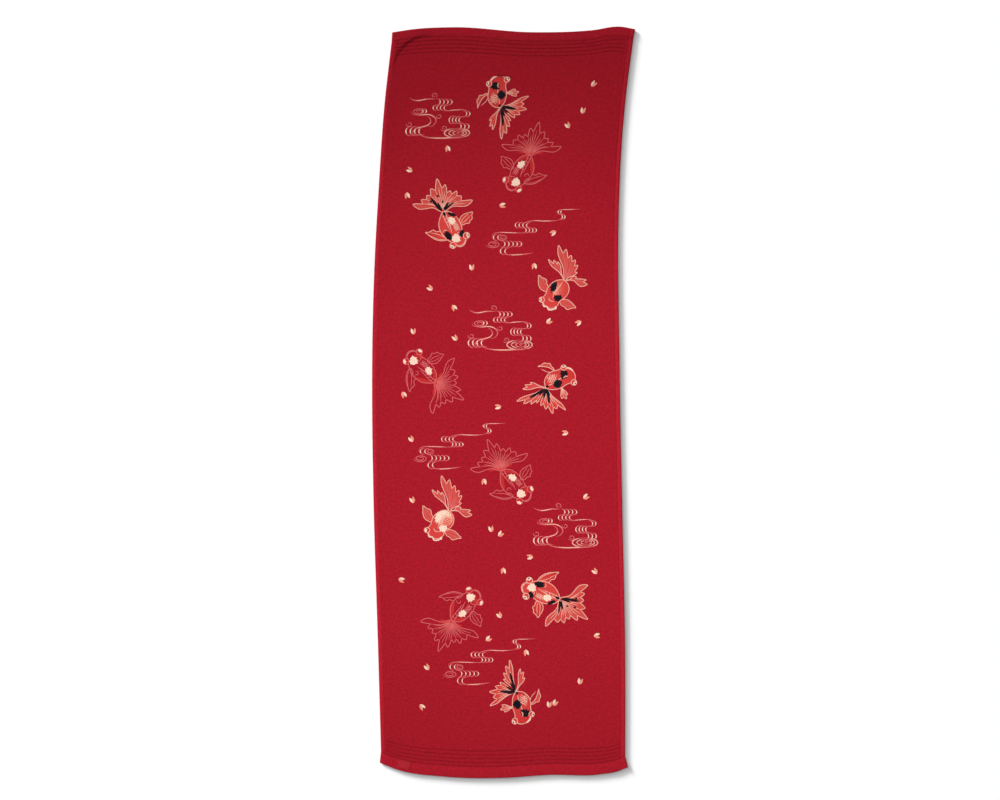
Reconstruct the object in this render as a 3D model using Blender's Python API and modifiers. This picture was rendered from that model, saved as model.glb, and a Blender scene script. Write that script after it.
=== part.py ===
"""Printed cotton hand towel, lying flat with its print up.

One length of soft cotton cloth, hemmed on all four sides with lockstitch seams, and a small woven label whose
inner edge is caught in one end seam. The cloth is two nodes that meet at mid-length, where it folds in half.

Frame: the origin is on the surface that the towel lies on, under the middle of its outline. +X runs across
the towel, +Y along it, away from the label end, and +Z is up. Metres throughout.
"""

import math

import bmesh
import bpy
import numpy as np
from mathutils import Vector

# Cloth
HALF_LENGTH = 0.5010  # along the middle line, from the fold to either end
THICKNESS = 0.0030  # of the cloth, and of its flattened hems
EDGE_ROUNDING = 0.0010  # width of the softened edge
EDGE_DROP = 0.0008  # how far that edge lies inside the two faces
HALVES_GAP = 0.0003  # between the two cloth nodes at mid-length

# Outline of the towel as it lies: (place along the towel, value) pairs
MIDDLE_LINE = (
    (-0.505, -0.0005),
    (-0.350, -0.0023),
    (-0.130, -0.0078),
    (0.030, -0.0103),
    (0.250, -0.0078),
    (0.410, 0.0025),
    (0.505, 0.0142),
)
HALF_WIDTH = ((-0.505, 0.1640), (-0.300, 0.1665), (0.050, 0.1665), (0.330, 0.1617), (0.505, 0.1627))
# How far each end edge lies beyond its straight line: (place across, from -1 left to 1 right, offset) pairs
TOP_EDGE = (
    (-1.00, -0.0035),
    (-0.80, 0.0014),
    (-0.50, 0.0039),
    (0.15, -0.0028),
    (0.65, -0.0001),
    (0.88, 0.0047),
    (1.00, 0.0012),
)
BOTTOM_EDGE = (
    (-1.00, 0.0160),
    (-0.86, 0.0065),
    (-0.50, -0.0024),
    (0.00, -0.0044),
    (0.38, -0.0003),
    (0.80, 0.0005),
    (0.92, 0.0042),
    (1.00, 0.0100),
)
END_ZONE = 0.130  # length over which an end edge's shape fades into straight rows

# Seams: distance from the edge to the stitch line
SIDE_HEM = 0.0060
END_HEM = {"bottom": 0.0155, "top": 0.0125}
# How far each end hem's corners stick out past the side edges
CORNER_EARS = {"bottom": (0.0020, 0.0040), "top": (0.0008, 0.0008)}
SEAM_WIDTH = 0.0040  # of the hollow that the stitches pull into both faces
SEAM_FLOOR = 0.0016  # width of that hollow's floor
SEAM_DEPTH = 0.0009  # into each face

# Top left corner, which curls up along a quarter-round crease
CURL_CENTRE = (-0.1007, 0.4452)
CURL_RADIUS = 0.048
CURL_WIDTH = 0.010
CURL_HEIGHT = 0.0020
CURL_ANGLES = (math.radians(85), math.radians(175))

# Thread
THREAD_RADIUS = 0.00025
THREAD_GAP = 0.0003  # between a thread and the floor of its hollow
THREAD_INSET = 0.0020  # from a side edge to the end of an end hem's thread
SIDE_THREAD_STOP = 0.0025  # from an end seam to the end of a side hem's thread

# Woven label
LABEL_WIDTH = 0.0170
LABEL_LENGTH = 0.0100
LABEL_THICKNESS = 0.0005
LABEL_LIFT = 0.0003  # over the hem
LABEL_ACROSS = -0.805  # place of its middle across the towel
LABEL_FROM_SEAM = 0.0008  # stitch line to the label's hinge line
LABEL_CORNER = 0.0001

# Spacing of the cloth's cells
COLUMNS_INSIDE = 14
END_ROWS = (0.030, 0.045, 0.065, 0.090, 0.115, 0.140)
ROWS_INSIDE = 12


def smooth_curve(pairs, at):
    """Reads a smooth curve through the (place, value) pairs, one cubic piece between each two places."""
    places, values = np.array(pairs).T
    slopes = np.gradient(values, places)
    piece = int(np.clip(np.searchsorted(places, at) - 1, 0, len(places) - 2))
    width = places[piece + 1] - places[piece]
    t = (at - places[piece]) / width
    start = (1 + 2 * t) * (1 - t) ** 2 * values[piece] + t * (1 - t) ** 2 * width * slopes[piece]
    end = t * t * (3 - 2 * t) * values[piece + 1] + t * t * (t - 1) * width * slopes[piece + 1]
    return start + end


def smoothstep(t):
    t = min(max(t, 0.0), 1.0)
    return t * t * (3 - 2 * t)


def end_of(along):
    return "top" if along > 0 else "bottom"


def plan(across, along):
    """Where a point of the cloth lies: across from -1 to 1, along the straightened towel in metres."""
    end = end_of(along)
    edge_shape = smooth_curve(TOP_EDGE if end == "top" else BOTTOM_EDGE, across)
    from_end = HALF_LENGTH - abs(along)
    left_ear, right_ear = CORNER_EARS[end]
    into_hem = max(1 - from_end / END_HEM[end], 0.0)
    ear = (right_ear if across > 0 else -left_ear) * into_hem * max(abs(across) * 5 - 4, 0.0)
    x = smooth_curve(MIDDLE_LINE, along) + across * smooth_curve(HALF_WIDTH, along) + ear
    y = along + edge_shape * smoothstep(1 - from_end / END_ZONE)
    return x, y


def lift(x, y):
    """Height of the cloth's underside over the surface it lies on: nothing except at the curled corner."""
    dx, dy = x - CURL_CENTRE[0], y - CURL_CENTRE[1]
    low, high = CURL_ANGLES
    turn = (math.atan2(dy, dx) - low) / (high - low)
    if not 0 < turn < 1:
        return 0.0
    out = smoothstep((math.hypot(dx, dy) - CURL_RADIUS) / CURL_WIDTH + 0.5)
    return CURL_HEIGHT * out * math.sin(math.pi * turn) ** 2


def seam_hollow(from_side, from_end, end_hem):
    """1 on the floor of a seam's hollow, 0 outside it, with straight walls between."""
    depths = [0.0]
    for distance in (from_side - SIDE_HEM, from_end - end_hem):
        depths.append((SEAM_WIDTH / 2 - abs(distance)) / ((SEAM_WIDTH - SEAM_FLOOR) / 2))
    return min(max(depths), 1.0)


def cloth_faces(across, along):
    """The cloth's point seen from above, and the heights of its underside and of its printed face there."""
    x, y = plan(across, along)
    from_side = (1 - abs(across)) * smooth_curve(HALF_WIDTH, along)
    from_end = HALF_LENGTH - abs(along)
    hollow = SEAM_DEPTH * seam_hollow(from_side, from_end, END_HEM[end_of(along)])
    edge = EDGE_DROP * max(1 - min(from_side, from_end) / EDGE_ROUNDING, 0.0)
    inset = max(hollow, edge)
    base = lift(x, y)
    return x, y, base + inset, base + THICKNESS - inset


def hem_stations(hem):
    """Distances from an edge that give it its soft rounding and its seam's hollow."""
    floor, wall = SEAM_FLOOR / 2, SEAM_WIDTH / 2
    return [0.0, EDGE_ROUNDING, hem - wall, hem - floor, hem + floor, hem + wall]


def column_stations(along):
    """Places across the towel, from -1 to 1, where its cells end."""
    half_width = smooth_curve(HALF_WIDTH, along)
    hem = [1 - distance / half_width for distance in hem_stations(SIDE_HEM)]
    inside = np.linspace(-hem[-1], hem[-1], COLUMNS_INSIDE + 1)[1:-1]
    return [-place for place in hem] + list(inside) + hem[::-1]


def row_stations(end):
    """Places along one half of the towel where its cells end, from its hemmed end to mid-length."""
    middle = np.linspace(HALF_LENGTH - END_ROWS[-1], HALVES_GAP / 2, ROWS_INSIDE + 1)[1:]
    from_middle = [HALF_LENGTH - distance for distance in hem_stations(END_HEM[end]) + list(END_ROWS)]
    rows = from_middle + list(middle)
    return rows if end == "top" else [-row for row in rows]


def material(name, color, roughness):
    made = bpy.data.materials.new(name)
    made.use_nodes = True
    shader = made.node_tree.nodes["Principled BSDF"]
    shader.inputs["Base Color"].default_value = (*color, 1.0)
    shader.inputs["Roughness"].default_value = roughness
    shader.inputs["Metallic"].default_value = 0.0
    return made


def add_object(name, data, surface):
    data.materials.append(surface)
    made = bpy.data.objects.new(name, data)
    towel.objects.link(made)
    return made


def cloth_half(end):
    """One half of the cloth: a grid laid out on the cells' stations, then thickened downwards."""
    rows = row_stations(end)
    columns = len(column_stations(0.0))
    work = bmesh.new()
    underside = work.verts.layers.float.new("underside")
    bmesh.ops.create_grid(work, x_segments=columns - 1, y_segments=len(rows) - 1, size=1.0)
    for vert in work.verts:
        column = round((vert.co.x + 1) / 2 * (columns - 1))
        row = round((vert.co.y + 1) / 2 * (len(rows) - 1))
        along = rows[row]
        x, y, low, high = cloth_faces(column_stations(along)[column], along)
        vert.co = (x, y, high)
        vert[underside] = low
    grown = bmesh.ops.extrude_face_region(work, geom=work.faces[:], use_keep_orig=True)["geom"]
    for vert in grown:
        if isinstance(vert, bmesh.types.BMVert):
            vert.co.z = vert[underside]
    bmesh.ops.recalc_face_normals(work, faces=work.faces[:])
    mesh = bpy.data.meshes.new(f"cloth_{end}")
    work.to_mesh(mesh)
    work.free()
    return mesh


def thread(name, points, surface):
    """One run of sewing thread: a thin round curve with closed ends."""
    curve = bpy.data.curves.new(name, "CURVE")
    curve.dimensions = "3D"
    curve.bevel_depth = THREAD_RADIUS
    curve.bevel_resolution = 2
    curve.use_fill_caps = True
    spline = curve.splines.new("POLY")
    spline.points.add(len(points) - 1)
    for made, place in zip(spline.points, points):
        made.co = (*place, 1.0)
    return add_object(name, curve, surface)


def thread_point(across, along, on_face):
    """A thread's centre: on the printed face, or under the cloth just clear of what it lies on."""
    x, y = plan(across, along)
    base = lift(x, y)
    if on_face:
        return x, y, base + THICKNESS - SEAM_DEPTH + THREAD_GAP + THREAD_RADIUS
    return x, y, base + SEAM_DEPTH - THREAD_GAP - THREAD_RADIUS


def end_hem_threads(end, surface):
    sign = 1 if end == "top" else -1
    along = sign * (HALF_LENGTH - END_HEM[end])
    stop = 1 - THREAD_INSET / smooth_curve(HALF_WIDTH, along)
    places = [-stop] + [place for place in column_stations(along) if abs(place) < stop] + [stop]
    for name, on_face in (("needle", True), ("bobbin", False)):
        points = [thread_point(place, along, on_face) for place in places]
        thread(f"{end}_hem_{name}_thread", points, surface)


def side_hem_threads(side, end, surface):
    sign = 1 if side == "right" else -1
    stop = HALF_LENGTH - END_HEM[end] - SIDE_THREAD_STOP
    rows = [row for row in row_stations(end) if abs(row) < stop]
    rows = [math.copysign(stop, rows[0])] + rows
    half = "upper" if end == "top" else "lower"
    for name, on_face in (("needle", True), ("bobbin", False)):
        points = []
        for row in rows:
            across = sign * (1 - SIDE_HEM / smooth_curve(HALF_WIDTH, row))
            points.append(thread_point(across, row, on_face))
        thread(f"{side}_hem_{name}_thread_{half}", points, surface)


def woven_label(surface):
    """A small slip of tape on the bottom hem. Its origin is on the line it turns about, along the seam."""
    along = -(HALF_LENGTH - END_HEM["bottom"] + LABEL_FROM_SEAM)
    reach = LABEL_WIDTH / 2 / smooth_curve(HALF_WIDTH, along)
    left = Vector(plan(LABEL_ACROSS - reach, along))
    right = Vector(plan(LABEL_ACROSS + reach, along))
    tilt = math.atan2(right.y - left.y, right.x - left.x)
    work = bmesh.new()
    bmesh.ops.create_cube(work, size=1.0)
    bmesh.ops.scale(work, vec=(LABEL_WIDTH, LABEL_LENGTH, LABEL_THICKNESS), verts=work.verts[:])
    bmesh.ops.translate(work, vec=(0, -LABEL_LENGTH / 2, 0), verts=work.verts[:])
    mesh = bpy.data.meshes.new("woven_label")
    work.to_mesh(mesh)
    work.free()
    label = add_object("woven_label", mesh, surface)
    middle = (left + right) / 2
    label.location = (middle.x, middle.y, THICKNESS + LABEL_LIFT + LABEL_THICKNESS / 2)
    label.rotation_euler.z = tilt
    bevel = label.modifiers.new("soft_edges", "BEVEL")
    bevel.width = LABEL_CORNER
    bevel.segments = 1
    return label


for old in list(bpy.data.objects):
    bpy.data.objects.remove(old, do_unlink=True)
towel = bpy.data.collections.new("printed_towel")
bpy.context.scene.collection.children.link(towel)

cloth_red = material("printed_cotton", (0.42, 0.013, 0.024), 0.92)
thread_red = material("sewing_thread", (0.40, 0.020, 0.030), 0.60)
label_red = material("woven_tape", (0.45, 0.025, 0.035), 0.75)

for half, end in (("lower", "bottom"), ("upper", "top")):
    add_object(f"cloth_{half}_half", cloth_half(end), cloth_red)
    end_hem_threads(end, thread_red)
    for side in ("left", "right"):
        side_hem_threads(side, end, thread_red)
woven_label(label_red)
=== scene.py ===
import math

import bpy
import numpy as np
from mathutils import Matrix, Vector
from mathutils.geometry import delaunay_2d_cdt


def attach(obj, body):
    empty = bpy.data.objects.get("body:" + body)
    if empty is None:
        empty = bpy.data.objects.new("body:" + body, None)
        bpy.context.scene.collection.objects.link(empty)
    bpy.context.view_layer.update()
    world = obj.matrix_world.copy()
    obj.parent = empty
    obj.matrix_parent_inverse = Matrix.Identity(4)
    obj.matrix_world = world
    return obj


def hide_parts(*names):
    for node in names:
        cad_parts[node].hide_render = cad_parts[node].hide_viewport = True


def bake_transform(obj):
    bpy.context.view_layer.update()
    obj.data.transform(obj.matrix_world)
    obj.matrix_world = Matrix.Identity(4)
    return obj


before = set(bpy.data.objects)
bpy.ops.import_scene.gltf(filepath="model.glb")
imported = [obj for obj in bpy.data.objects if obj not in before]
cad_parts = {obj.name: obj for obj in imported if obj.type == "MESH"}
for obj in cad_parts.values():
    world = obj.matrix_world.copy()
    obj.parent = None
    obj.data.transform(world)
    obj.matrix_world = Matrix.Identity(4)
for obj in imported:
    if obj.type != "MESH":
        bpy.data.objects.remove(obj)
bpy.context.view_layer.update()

# Printed cotton hand towel, lying flat. Metres, in the frame of the CAD: +X across, +Y along, +Z up.
MM = 0.001

# ---- The towel's outline, the same as the CAD's: (place along, value) and (place across, value) pairs

HALF_LENGTH = 0.5010
MIDDLE_LINE = (
    (-0.505, -0.0005), (-0.350, -0.0023), (-0.130, -0.0078), (0.030, -0.0103), (0.250, -0.0078),
    (0.410, 0.0025), (0.505, 0.0142),
)
HALF_WIDTH = ((-0.505, 0.1640), (-0.300, 0.1665), (0.050, 0.1665), (0.330, 0.1617), (0.505, 0.1627))
TOP_EDGE = (
    (-1.00, -0.0035), (-0.80, 0.0014), (-0.50, 0.0039), (0.15, -0.0028), (0.65, -0.0001),
    (0.88, 0.0047), (1.00, 0.0012),
)
BOTTOM_EDGE = (
    (-1.00, 0.0160), (-0.86, 0.0065), (-0.50, -0.0024), (0.00, -0.0044), (0.38, -0.0003),
    (0.80, 0.0005), (0.92, 0.0042), (1.00, 0.0100),
)
END_ZONE = 0.130  # the part at each end that the curved edge bends
SIDE_HEM = 0.0060
END_HEM = {"bottom": 0.0155, "top": 0.0125}
# How far the corners of each end stand out, at the left and at the right
CORNER_EARS = {"bottom": (0.0020, 0.0040), "top": (0.0008, 0.0008)}

# Cloth in section
HEM_THICKNESS = 0.0030
EDGE_ROUNDING = 0.0018
HEM_OVERLAP = 0.0016  # folded-under cloth past the stitches
FOLD_STEP = 0.0008  # width of the step at the folded-under cloth's edge
SETTLE = 0.022  # distance over which the cloth sinks from a hem to the table
HEM_LIFT = 0.00045  # the underside over the table, just past a hem
TABLE_LIFT = 0.00006
SINGLE_LOSS = 0.00022  # how far the face drops past a hem, at once and once settled
SETTLED_LOSS = 0.00050
SWELL = 0.00022  # half the height of the cloth's unevenness
PUCKER = 0.00012  # puckers along the seams: height, spread, then radians a metre of wave and of drift
PUCKER_SPREAD = 0.006
PUCKER_WAVES = 430
PUCKER_DRIFT = 37
HEM_TONE = 0.0015  # width over which the colour turns lighter at a hem
SEAM_HALF = 0.0017  # half width of the hollow along a seam
END_SEAM_DEPTH = 0.0007
SIDE_SEAM_DEPTH = 0.00035
RIB_PITCH = 0.00505  # between the grooves of the ribbed border
RIB_COUNT = 4
RIB_HALF = 0.0010
RIB_DEPTH = 0.00042

# Curled corner at the top left
CURL_CENTRE = (-0.1007, 0.4452)
CURL_RADIUS = 0.048
CURL_WIDTH = 0.0036
CURL_HEIGHT = 0.0029  # low enough to clear the label when the towel is folded over
CURL_ANGLES = (math.radians(66), math.radians(184))


def smoothstep(t):
    t = np.clip(t, 0.0, 1.0)
    return t * t * (3 - 2 * t)


def smooth_curve(pairs, at):
    """Reads a smooth curve through the (place, value) pairs, one cubic piece between each two places."""
    places, values = np.array(pairs).T
    slopes = np.gradient(values, places)
    piece = np.clip(np.searchsorted(places, at) - 1, 0, len(places) - 2)
    width = places[piece + 1] - places[piece]
    t = (at - places[piece]) / width
    start = (1 + 2 * t) * (1 - t) ** 2 * values[piece] + t * (1 - t) ** 2 * width * slopes[piece]
    end = t * t * (3 - 2 * t) * values[piece + 1] + t * t * (t - 1) * width * slopes[piece + 1]
    return start + end


def half_width(along):
    return smooth_curve(HALF_WIDTH, along)


def by_end(along, table):
    return np.where(along > 0, table["top"], table["bottom"])


def plan(across, along):
    """Where a point of the cloth lies. across: metres from the middle line; along: metres from mid-length."""
    part = across / half_width(along)
    shape = np.where(along > 0, smooth_curve(TOP_EDGE, part), smooth_curve(BOTTOM_EDGE, part))
    from_end = HALF_LENGTH - abs(along)
    ears = {end: np.where(part > 0, right, -left) for end, (left, right) in CORNER_EARS.items()}
    into_hem = np.maximum(1 - from_end / by_end(along, END_HEM), 0.0)
    ear = by_end(along, ears) * into_hem * np.maximum(abs(part) * 5 - 4, 0.0)
    x = smooth_curve(MIDDLE_LINE, along) + across + ear
    y = along + shape * smoothstep(1 - from_end / END_ZONE)
    return x, y


def curl(x, y):
    """How far the top left corner lifts off the table, past its quarter-round crease."""
    dx, dy = x - CURL_CENTRE[0], y - CURL_CENTRE[1]
    low, high = CURL_ANGLES
    turn = np.clip((np.arctan2(dy, dx) - low) / (high - low), 0, 1)
    out = smoothstep((np.hypot(dx, dy) - CURL_RADIUS) / CURL_WIDTH + 0.5)
    return CURL_HEIGHT * out * np.sin(math.pi * turn) ** 1.5


def swell(x, y):
    """The slight unevenness of cloth laid out by hand, from 0 to about half a millimetre."""
    total = np.sin(x * 31 + y * 11 + 0.6) + 0.8 * np.sin(y * 23 - x * 17 + 2.1)
    total = total + 0.5 * np.sin(x * 62 - y * 9 + 4.0) + 0.4 * np.sin(y * 58 + x * 25 + 1.3)
    return SWELL * (1 + total / 2.7)


def hollow(distance, half):
    return 0.5 + 0.5 * np.cos(math.pi * np.clip(abs(distance) / half, 0, 1))


def grooves(to_side_seam, to_end_seam):
    """The grooves of the ribbed border, from 0 to 1. They fade out just inside the side hems."""
    ribs = sum(hollow(to_end_seam - number * RIB_PITCH, RIB_HALF) for number in range(1, RIB_COUNT + 1))
    return ribs * smoothstep((to_side_seam - 0.0004) / 0.0020)


def to_seams(across, along):
    """Distances inwards from the nearer side seam and from the nearer end seam."""
    to_side_seam = half_width(along) - abs(across) - SIDE_HEM
    return to_side_seam, HALF_LENGTH - abs(along) - by_end(along, END_HEM)


def shading(across, along):
    """How much darker the cloth is coloured: 1 in the border's grooves and along an end seam, which is
    painted shade in these hollows, partly also the border's denser weave; down to -1 on a hem, which is
    coloured lighter.
    """
    to_side_seam, to_end_seam = to_seams(across, along)
    on_side_hem = smoothstep(0.5 - to_side_seam / HEM_TONE)
    on_end_hem = smoothstep(0.5 - to_end_seam / HEM_TONE)
    # Painted shade in the ribbed border's grooves and in the hollow along an end seam, partly also the
    # border's denser weave
    dark = np.maximum(grooves(to_side_seam, to_end_seam), hollow(to_end_seam, SEAM_HALF * 0.7))
    return dark - np.maximum(on_side_hem, 0.6 * on_end_hem) * (1 - dark)


def past_hem(across, along):
    """Distance inwards from the edge of the folded-under cloth of the hems."""
    return np.minimum(*to_seams(across, along)) - HEM_OVERLAP


def heights(across, along):
    """Heights of the cloth's underside and of its printed face over the table."""
    to_side_seam, to_end_seam = to_seams(across, along)
    single = smoothstep(past_hem(across, along) / FOLD_STEP)
    settled = smoothstep(past_hem(across, along) / SETTLE)
    x, y = plan(across, along)
    wave = swell(x, y) * settled
    low = single * HEM_LIFT * (1 - settled) + TABLE_LIFT * settled + wave
    high = HEM_THICKNESS - SINGLE_LOSS * single - SETTLED_LOSS * settled + wave

    side_seam = SIDE_SEAM_DEPTH * hollow(to_side_seam, SEAM_HALF)
    seam = np.maximum(side_seam, END_SEAM_DEPTH * hollow(to_end_seam, SEAM_HALF))
    high = high - seam
    low = low + 0.8 * seam
    for distance, run in ((to_side_seam, along), (to_end_seam, across)):
        near = 1 - smoothstep(abs(distance) / PUCKER_SPREAD)
        high = high + near * PUCKER * np.sin(run * PUCKER_WAVES + 2 * np.sin(run * PUCKER_DRIFT))
    rib = grooves(to_side_seam, to_end_seam)
    high = high - RIB_DEPTH * rib
    low = low + 0.4 * RIB_DEPTH * rib

    to_edge = np.minimum(half_width(along) - abs(across), HALF_LENGTH - abs(along))
    roundness = np.sqrt(np.clip(1 - (1 - np.minimum(to_edge / EDGE_ROUNDING, 1)) ** 2, 0, 1))
    middle = (low + high) / 2
    lifted = curl(x, y)
    return lifted + middle + (low - middle) * roundness, lifted + middle + (high - middle) * roundness


# ---- The print. Each motif is drawn in painter's order, in millimetres: across + along * 1j.

CREAM = (250, 216, 194)
PALE = (240, 178, 158)
PINK = (214, 104, 104)
CORAL = (214, 66, 62)
ROSE = (206, 52, 52)
DEEP_CORAL = (196, 46, 46)
FIN_PINK = (204, 82, 74)
PEACH = (240, 152, 126)
NAVY = (14, 22, 28)
EDGE_LINE = 0.95
RAY_LINE = 0.75
PIGMENT_SHARE = 0.61  # a pigment's own colour, as a share of how bright it looks in the studio light
NOTCH = 0.88  # how far out a fin is cut between two lobes, as a part of the shorter one


def through(points, step=1.7, closed=False):
    """A smooth line through a few chosen points, as points about one step apart."""
    points = np.asarray(points, complex)
    if closed:
        points = np.append(points, points[0])
        before, after = points[-2], points[1]
    else:
        before, after = 2 * points[0] - points[1], 2 * points[-1] - points[-2]
    padded = np.concatenate(([before], points, [after]))
    pieces = []
    for a, b, c, d in zip(padded, padded[1:], padded[2:], padded[3:]):
        t = np.arange(0, 1, 1 / max(math.ceil(abs(c - b) / step), 1))
        pieces.append(b + (c - a) / 2 * t + (a - 2.5 * b + 2 * c - d / 2) * t**2
                      + (1.5 * (b - c) + (d - a) / 2) * t**3)
    line = np.concatenate(pieces)
    return line if closed else np.append(line, points[-1])


def ribbon(line, width, thin_start, thin_end):
    """The outline of a brush line of the given width, thinned towards its two ends."""
    place = np.linspace(0, 1, len(line))
    swell = np.minimum(np.minimum(thin_start + place / 0.3, thin_end + (1 - place) / 0.3), 1)
    along = np.gradient(line)
    side = 1j * along / np.maximum(abs(along), 1e-9) * swell * width / 2
    return np.concatenate((line + side, (line - side)[::-1]))


class Drawing:
    """Shapes in painter's order: an outline, and the colours at its start and its far end."""

    def __init__(self):
        self.shapes = []

    def fill(self, outline, color, far_color=None, origin=0, reach=1):
        self.shapes.append((np.asarray(outline, complex), color, far_color or color, origin, reach))

    def line(self, points, width, color, thin=(0.3, 0.3), step=1.7):
        self.fill(ribbon(through(points, step), width, *thin), color)

    def blots(self, color, *patches):
        for patch in patches:
            self.fill(blot(*patch), color)

    def ring(self, outline, width, color):
        closed = np.append(outline, outline[:2])
        self.fill(ribbon(closed, width, 1, 1), color)

    def placed(self, place, angle, flipped=False):
        """The same shapes turned by an angle in degrees and set down at a place on the cloth."""
        turn = np.exp(1j * math.radians(angle))
        for outline, color, far_color, origin, reach in self.shapes:
            points = np.conj(outline) if flipped else outline
            centre = np.conj(origin) if flipped else origin
            yield place + points * turn, color, far_color, place + centre * turn, reach


def polar(degrees, length):
    return length * np.exp(1j * np.radians(degrees))


def fan(root, lobes, flare=14):
    """Outline of a fin that flares out from its root: pointed lobes of (degrees, length), notched between."""
    first, last = lobes[0], lobes[-1]
    turn = 1 if last[0] > first[0] else -1
    outline = [root]
    for part, bend in ((0.35, -0.6), (0.75, 0.5), (1.0, 0.0)):
        outline.append(root + polar(first[0] - turn * flare * bend, first[1] * part))
    for (angle, length), (next_angle, next_length) in zip(lobes, lobes[1:]):
        gap = next_angle - angle
        low = min(length, next_length) * NOTCH
        outline.append(root + polar(angle + gap * 0.24, low + (length - low) * 0.60))
        outline.append(root + polar(angle + gap * 0.50, low))
        outline.append(root + polar(angle + gap * 0.72, low + (next_length - low) * 0.40))
        outline.append(root + polar(next_angle, next_length))
    for part, bend in ((0.75, 0.5), (0.35, -0.6)):
        outline.append(root + polar(last[0] + turn * flare * bend, last[1] * part))
    return through(outline, closed=True)


def leaf(base, tip, lead, trail, waves):
    """Outline of a side fin: a smooth leading edge, a pointed tip and a wavy trailing edge."""
    span = tip - base
    places = np.linspace(0, 1, 7)
    front = base + span * (places + 1j * lead * np.sin(math.pi * places**0.8))
    back_places = np.linspace(1, 0, 2 * waves + 2)[1:-1]
    ripple = 0.035 * np.where(np.arange(len(back_places)) % 2, 1, -1)
    back = base + span * (back_places - 1j * (trail * np.sin(math.pi * back_places) + ripple))
    return through(np.concatenate((front, back)), closed=True)


def blot(centre, across, along, spikes, seed, angle=0):
    """A patch with a ragged edge."""
    random = np.random.default_rng(seed)
    count = 4 * spikes
    turns = (np.arange(count) + random.uniform(-0.3, 0.3, count)) * 2 * math.pi / count
    radii = np.where(np.arange(count) % 2, 0.78, 1.02) * random.uniform(0.82, 1.14, count)
    edge = radii * (np.cos(turns) * across + 1j * np.sin(turns) * along)
    return centre + edge * np.exp(1j * math.radians(angle))


def oval(centre, across, along, angle=0, count=14):
    turns = np.arange(count) * 2 * math.pi / count
    return centre + (np.cos(turns) * across + 1j * np.sin(turns) * along) * np.exp(1j * math.radians(angle))


def draw_fin(art, outline, rays, colors):
    """A fin with its edge and its rays. colors: fill or None, far fill, edge, rays."""
    fill, far_fill, edge, ray = colors
    root = outline[0]
    if fill:
        art.fill(outline, fill, far_fill, root, abs(outline - root).max())
    for points in rays:
        art.line(points, RAY_LINE, ray)
    art.ring(outline, EDGE_LINE, edge)


def fan_rays(root, lobes):
    """The folds of a fan, which curve outwards to every notch, with a shorter one up every wide lobe."""
    folds = []
    for (angle, length), (next_angle, next_length) in zip(lobes, lobes[1:]):
        folds.append(((angle + next_angle) / 2, min(length, next_length) * NOTCH))
        if abs(next_angle - angle) > 12:
            folds.append((next_angle, next_length * 0.74))
    axis = (lobes[0][0] + lobes[-1][0]) / 2
    rays = []
    for angle, length in folds:
        places = [(0.14, 0.35), (0.5, 0.22), (0.8, 0.07), (1.0, 0)]
        rays.append([root + polar(angle + (axis - angle) * pull, length * part) for part, pull in places])
    return rays


def leaf_rays(base, tip, count):
    """The folds of a side fin, side by side along it."""
    rays = []
    for number in range(count):
        places = [part + 1j * (0.12 - 0.2 * number) * math.sin(math.pi * part) for part in (0.08, 0.4, 0.8)]
        rays.append([base + (tip - base) * place for place in places])
    return rays


def draw_fan(art, lobes, flare, colors, root=0):
    draw_fin(art, fan(root, lobes, flare), fan_rays(root, lobes), colors)


def draw_leaf(art, base, tip, colors, lead=0.28, trail=0.30, waves=3, rays=2):
    draw_fin(art, leaf(base, tip, lead, trail, waves), leaf_rays(base, tip, rays), colors)


def draw_bars(art, bars, bend):
    """Dark bars along a fin, from its root. bars: (degrees, length, width)."""
    for angle, length, width in bars:
        points = [polar(angle + bend, 2), polar(angle + bend / 2, length * 0.5), polar(angle, length)]
        art.line(points, width, NAVY)


def draw_eye(art, centre, outward, radius, ring_color, pupil):
    art.fill(oval(centre, radius, radius), CORAL if pupil else DEEP_CORAL)
    art.ring(oval(centre, radius, radius), 1.0, ring_color)
    cap = centre + polar(outward, radius * 0.45)
    art.fill(blot(cap, radius * 0.5, radius * 0.85, 4, 3, outward), CREAM)
    if pupil:
        art.fill(oval(cap + polar(outward, 0.6), 0.9, 1.2, outward, 8), NAVY)


def scale_net(art, centre, across, along, angle, color):
    """Two sets of crossing lines inside an oval."""
    turn = np.exp(1j * math.radians(angle))
    for slant in (-1, 1):
        for place in (-0.66, -0.22, 0.22, 0.66):
            half = math.sqrt(1 - place**2)
            ends = [(place - slant * half * 0.5) * across + 1j * half * along * -1,
                    (place + slant * half * 0.5) * across + 1j * half * along]
            art.line([centre + end * turn for end in ends], 0.8, color, (0.6, 0.6))


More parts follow.
